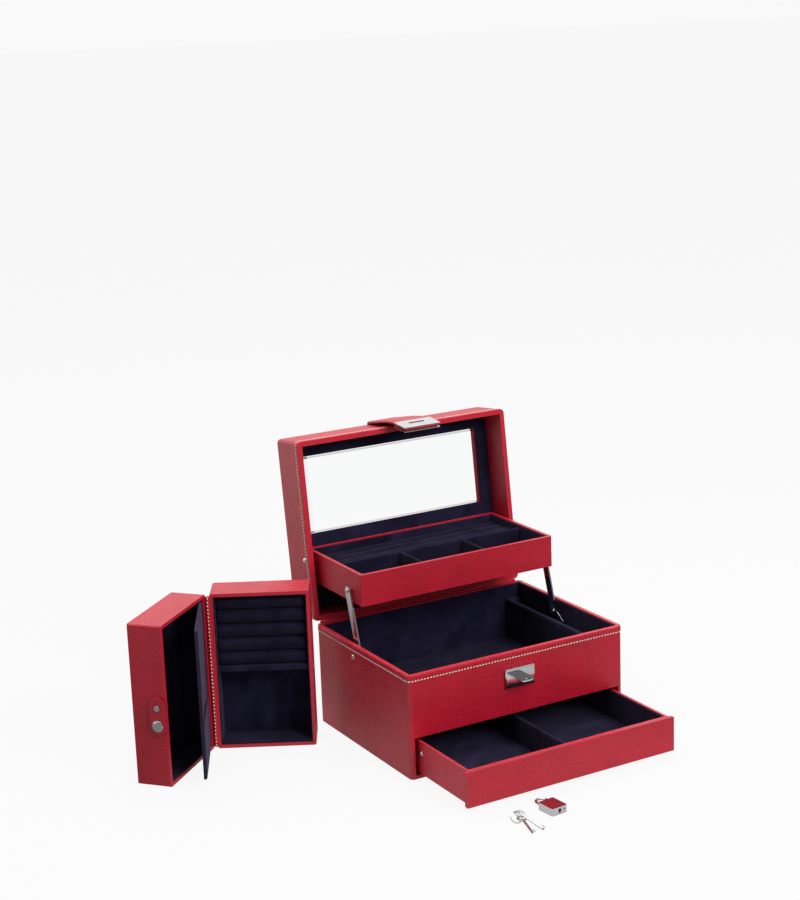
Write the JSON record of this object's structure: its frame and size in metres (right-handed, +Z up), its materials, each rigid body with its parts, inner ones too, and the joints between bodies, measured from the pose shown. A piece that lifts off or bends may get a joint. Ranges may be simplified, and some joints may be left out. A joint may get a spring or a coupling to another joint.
{
  "type": "leather jewellery case",
  "caption": "Hinged leather jewellery case with a mirrored lid that lifts a tray on side arms, a suede-lined well, a drawer, a hasp clasp with padlock, and a small folding travel case",
  "frame": {"origin": "centre of the main case's underside, on the surface it stands on", "axes": "+X to the right of someone facing the case, +Y to the back, +Z up"},
  "size_m": [0.5496, 0.4906, 0.3509],
  "materials": {
    "red_leather": "fine pebble grain, semi-matt",
    "red_edge": "smooth turned edge, brighter red",
    "navy_suede": "short-nap suede",
    "padded_suede": "short-nap suede over padding",
    "mirror_glass": "silvered glass with a bevelled edge",
    "bright_metal": "polished"
  },
  "bodies": {
    "case": {"case_shell": "red_leather", "well_floor": "navy_suede", "well_lining": "navy_suede", "side_rail_left": "padded_suede", "side_rail_right": "padded_suede", "hasp": "bright_metal", "base_pivot_left": "bright_metal", "base_pivot_right": "bright_metal", "arm_spring_left": "bright_metal", "arm_spring_right": "bright_metal", "hinge_roll": "red_leather"},
    "lid": {"lid_shell": "red_leather", "mirror_board": "navy_suede", "mirror": "mirror_glass", "lid_pivot_left": "bright_metal", "lid_pivot_right": "bright_metal", "strap_anchor": "red_leather"},
    "strap_fold": {"strap_fold": "red_leather"},
    "clasp_flap": {"clasp_strap": "red_leather", "clasp_plate_outer": "bright_metal", "clasp_plate_inner": "bright_metal"},
    "arm_left": {"arm_left": "bright_metal"},
    "arm_right": {"arm_right": "bright_metal"},
    "tray": {"tray_shell": "red_leather", "tray_lining": "navy_suede", "tray_long_divider": "padded_suede", "tray_divider_left": "padded_suede", "tray_divider_right": "padded_suede", "tray_ring_roll_1": "padded_suede", "tray_ring_roll_2": "padded_suede", "tray_ring_roll_3": "padded_suede", "tray_ring_roll_4": "padded_suede", "tray_pin_left": "bright_metal", "tray_pin_right": "bright_metal"},
    "drawer": {"drawer_front": "red_leather", "drawer_box": "red_edge", "drawer_lining": "navy_suede", "drawer_divider": "padded_suede", "drawer_stop_left": "bright_metal", "drawer_stop_right": "bright_metal"},
    "travel_base": {"travel_base_shell": "red_leather", "travel_base_insert": "navy_suede", "travel_ring_roll_1": "padded_suede", "travel_ring_roll_2": "padded_suede", "travel_ring_roll_3": "padded_suede", "travel_ring_roll_4": "padded_suede", "travel_ring_roll_5": "padded_suede", "travel_spine": "red_leather", "latch_stud": "bright_metal"},
    "travel_lid": {"travel_lid_shell": "red_leather", "travel_lid_lining": "navy_suede", "latch_rivet": "bright_metal"},
    "travel_leaf": {"travel_leaf": "navy_suede"},
    "latch_tab": {"latch_tab": "red_leather", "latch_snap": "bright_metal"},
    "padlock": {"padlock_body": "bright_metal"},
    "padlock_shackle": {"padlock_shackle": "bright_metal"},
    "key_ring": {"key_ring": "bright_metal"},
    "key_a": {"key_a": "bright_metal"},
    "key_b": {"key_b": "bright_metal"}
  },
  "joints": [
    {"name": "lid_hinge", "type": "hinge", "parent": "case", "child": "lid", "pos_m": [0, 0.1102, 0.1229], "axis": [1, 0, 0], "range_deg": [0, 96.8]},
    {"name": "tray_pivot", "type": "hinge", "parent": "lid", "child": "tray", "pos_m": [0, 0.13179, 0.19577], "axis": [1, 0, 0], "range_deg": [-96.8, 0]},
    {"name": "arm_left_pivot", "type": "hinge", "parent": "case", "child": "arm_left", "pos_m": [0, 0.0193, 0.1072], "axis": [1, 0, 0], "range_deg": [0, 96.8]},
    {"name": "arm_right_pivot", "type": "hinge", "parent": "case", "child": "arm_right", "pos_m": [0, 0.0193, 0.1072], "axis": [1, 0, 0], "range_deg": [0, 96.8]},
    {"name": "strap_bend", "type": "hinge", "parent": "lid", "child": "strap_fold", "pos_m": [0, 0.19375, 0.3354], "axis": [-1, 0, 0], "range_deg": [0, 13.55]},
    {"name": "clasp_flap", "type": "hinge", "parent": "strap_fold", "child": "clasp_flap", "pos_m": [0, 0.17975, 0.34064], "axis": [-1, 0, 0], "range_deg": [-6, 45]},
    {"name": "drawer_slide", "type": "slide", "parent": "case", "child": "drawer", "axis": [0, 1, 0], "range_m": [0, 0.106]},
    {"name": "travel_case_lift", "type": "slide", "parent": "case", "child": "travel_base", "axis": [0, 0, 1], "range_m": [0, 0.25]},
    {"name": "travel_lid_hinge", "type": "hinge", "parent": "travel_base", "child": "travel_lid", "pos_m": [-0.28595, 0.10207, 0.09465], "axis": [0, 0, 1], "range_deg": [-70, 109.5]},
    {"name": "leaf_hinge", "type": "hinge", "parent": "travel_lid", "child": "travel_leaf", "pos_m": [-0.29601, 0.10111, 0.09465], "axis": [0, 0, 1], "range_deg": [-22, 15]},
    {"name": "latch_swivel", "type": "hinge", "parent": "travel_lid", "child": "latch_tab", "pos_m": [-0.38205, 0.03482, 0.094], "axis": [-0.7524, -0.6587, 0], "range_deg": [0, 90]},
    {"name": "padlock_lift", "type": "slide", "parent": "case", "child": "padlock", "axis": [0, 0, 1], "range_m": [0, 0.15]},
    {"name": "shackle_slide", "type": "slide", "parent": "padlock", "child": "padlock_shackle", "axis": [-0.0872, 0.9962, 0], "range_m": [0, 0.005]},
    {"name": "key_ring_lift", "type": "slide", "parent": "case", "child": "key_ring", "axis": [0, 0, 1], "range_m": [0, 0.15]},
    {"name": "key_a_swing", "type": "hinge", "parent": "key_ring", "child": "key_a", "pos_m": [-0.10161, -0.26394, 0.0033], "axis": [0, 0, 1], "range_deg": [-10, 8]},
    {"name": "key_b_swing", "type": "hinge", "parent": "key_ring", "child": "key_b", "pos_m": [-0.10176, -0.25984, 0.0077], "axis": [0, 0, 1], "range_deg": [-8, 10]}
  ],
  "couplings": [
    {"joint": "tray_pivot", "follows": "lid_hinge", "ratio": -1},
    {"joint": "arm_left_pivot", "follows": "lid_hinge", "ratio": 1},
    {"joint": "arm_right_pivot", "follows": "lid_hinge", "ratio": 1},
    {"joint": "strap_bend", "follows": "lid_hinge", "ratio": 0.14},
    {"joint": "leaf_hinge", "follows": "travel_lid_hinge", "ratio": -0.20091}
  ]
}
